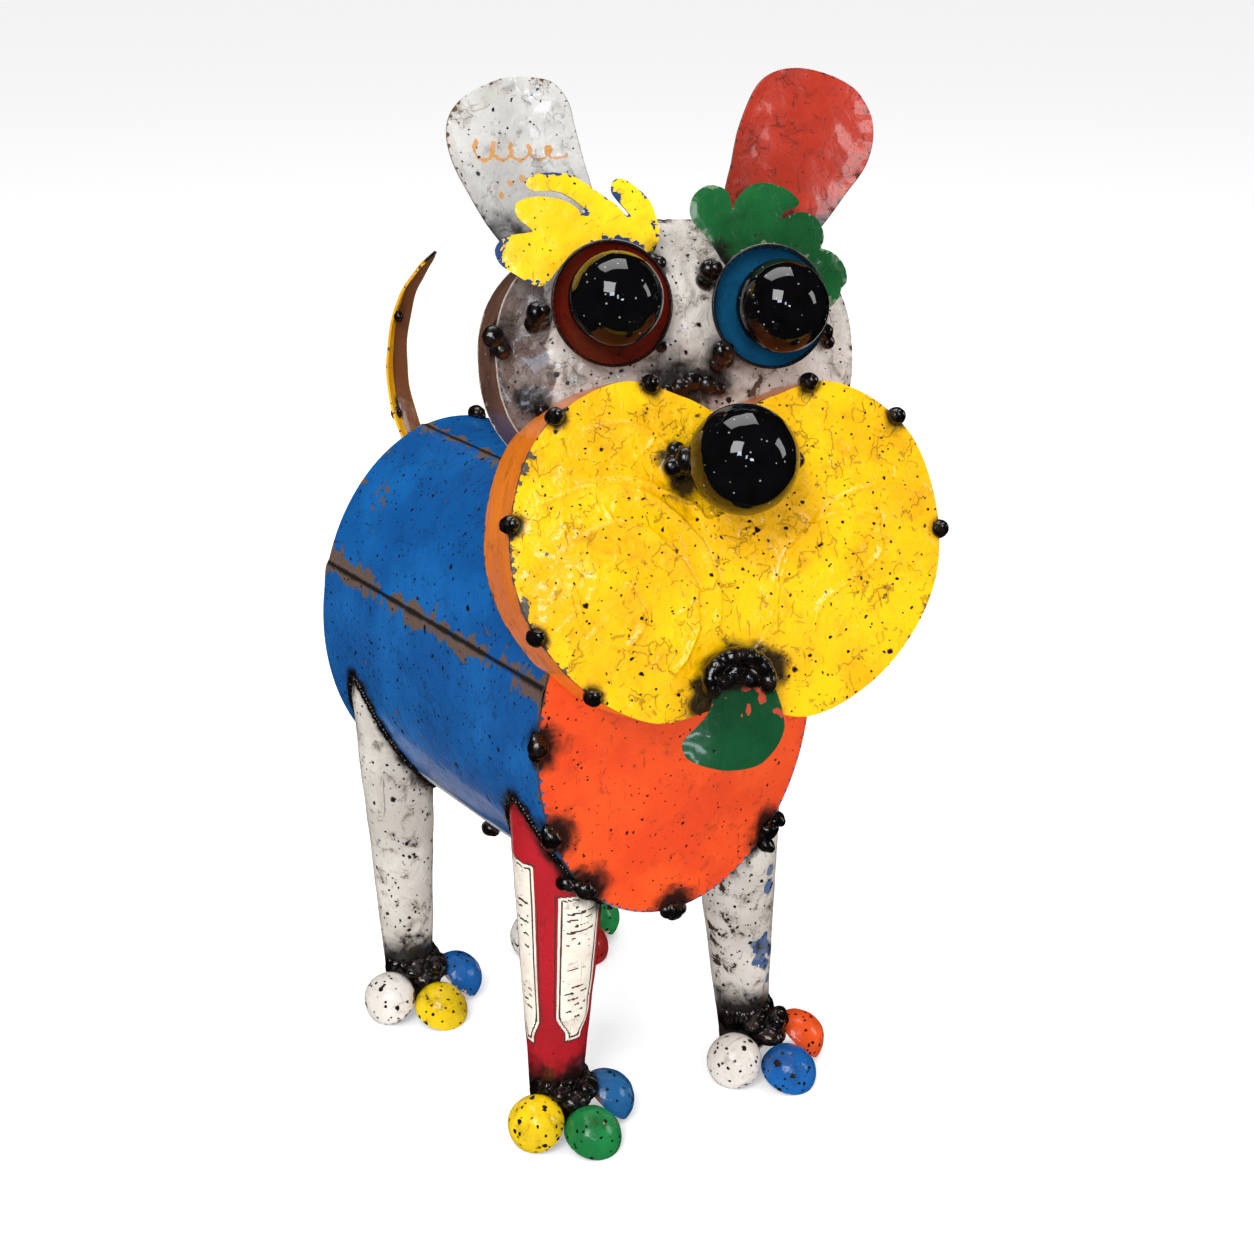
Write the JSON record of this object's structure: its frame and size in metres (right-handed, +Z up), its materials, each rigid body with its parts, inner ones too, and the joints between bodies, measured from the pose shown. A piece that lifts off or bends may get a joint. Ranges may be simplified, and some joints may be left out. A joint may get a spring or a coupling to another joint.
{
  "type": "scrap metal dog sculpture",
  "caption": "Standing dog sculpture of reclaimed painted sheet metal: oval barrel body, heart-shaped muzzle, round eyes, leaf ears, tapered legs with domed toes and a curled tail.",
  "frame": {"origin": "middle of the underside of the bounding box, on the floor under the body", "axes": "+Z up, the dog faces -Y, +X is the dog's own left"},
  "size_m": [0.2374, 0.349, 0.4964],
  "materials": {
    "blue_enamel": "worn gloss enamel on hammered sheet",
    "orange_enamel": "worn gloss enamel on hammered sheet",
    "light_orange_enamel": "worn gloss enamel on hammered sheet",
    "yellow_enamel": "worn gloss enamel on hammered sheet",
    "cream_enamel": "worn gloss enamel on hammered sheet",
    "red_enamel": "worn gloss enamel on hammered sheet",
    "green_enamel": "worn gloss enamel on hammered sheet",
    "teal_enamel": "worn gloss enamel on hammered sheet",
    "maroon_enamel": "worn gloss enamel on hammered sheet",
    "brown_steel": "worn gloss enamel on hammered sheet",
    "black_gloss": "polished gloss black",
    "weld_steel": "burnt weld metal"
  },
  "bodies": {
    "root": {"barrel_shell": "blue_enamel", "brow_left": "green_enamel", "brow_right": "yellow_enamel", "chest_bead_1": "weld_steel", "chest_bead_2": "weld_steel", "chest_bead_3": "weld_steel", "chest_bead_4": "weld_steel", "chest_bead_5": "weld_steel", "chest_disc": "orange_enamel", "ear_left": "red_enamel", "ear_right": "cream_enamel", "eye_ball_left": "black_gloss", "eye_ball_right": "black_gloss", "eye_bead_1": "weld_steel", "eye_bead_2": "weld_steel", "eye_bead_3": "weld_steel", "eye_bead_4": "weld_steel", "eye_cup_left": "teal_enamel", "eye_cup_right": "maroon_enamel", "face_plate": "cream_enamel", "foot_weld_front_left": "weld_steel", "foot_weld_front_right": "weld_steel", "foot_weld_rear_left": "weld_steel", "foot_weld_rear_right": "weld_steel", "head_back": "brown_steel", "head_band": "brown_steel", "leg_front_left": "cream_enamel", "leg_front_right": "red_enamel", "leg_rear_left": "cream_enamel", "leg_rear_right": "cream_enamel", "mouth_lip": "weld_steel", "muzzle_band": "light_orange_enamel", "muzzle_bead_1": "weld_steel", "muzzle_bead_2": "weld_steel", "muzzle_bead_3": "weld_steel", "muzzle_bead_4": "weld_steel", "muzzle_bead_5": "weld_steel", "muzzle_bead_6": "weld_steel", "muzzle_bead_7": "weld_steel", "muzzle_bead_8": "weld_steel", "muzzle_plate": "yellow_enamel", "nose_ball": "black_gloss", "nose_tab_left": "weld_steel", "nose_tab_right": "weld_steel", "rump_disc": "light_orange_enamel", "tail": "yellow_enamel", "toe_front_left_left": "orange_enamel", "toe_front_left_middle": "blue_enamel", "toe_front_left_right": "cream_enamel", "toe_front_right_left": "teal_enamel", "toe_front_right_middle": "green_enamel", "toe_front_right_right": "yellow_enamel", "toe_rear_left_left": "green_enamel", "toe_rear_left_middle": "red_enamel", "toe_rear_left_right": "cream_enamel", "toe_rear_right_left": "blue_enamel", "toe_rear_right_middle": "yellow_enamel", "toe_rear_right_right": "cream_enamel", "tongue": "green_enamel"}
  },
  "joints": []
}
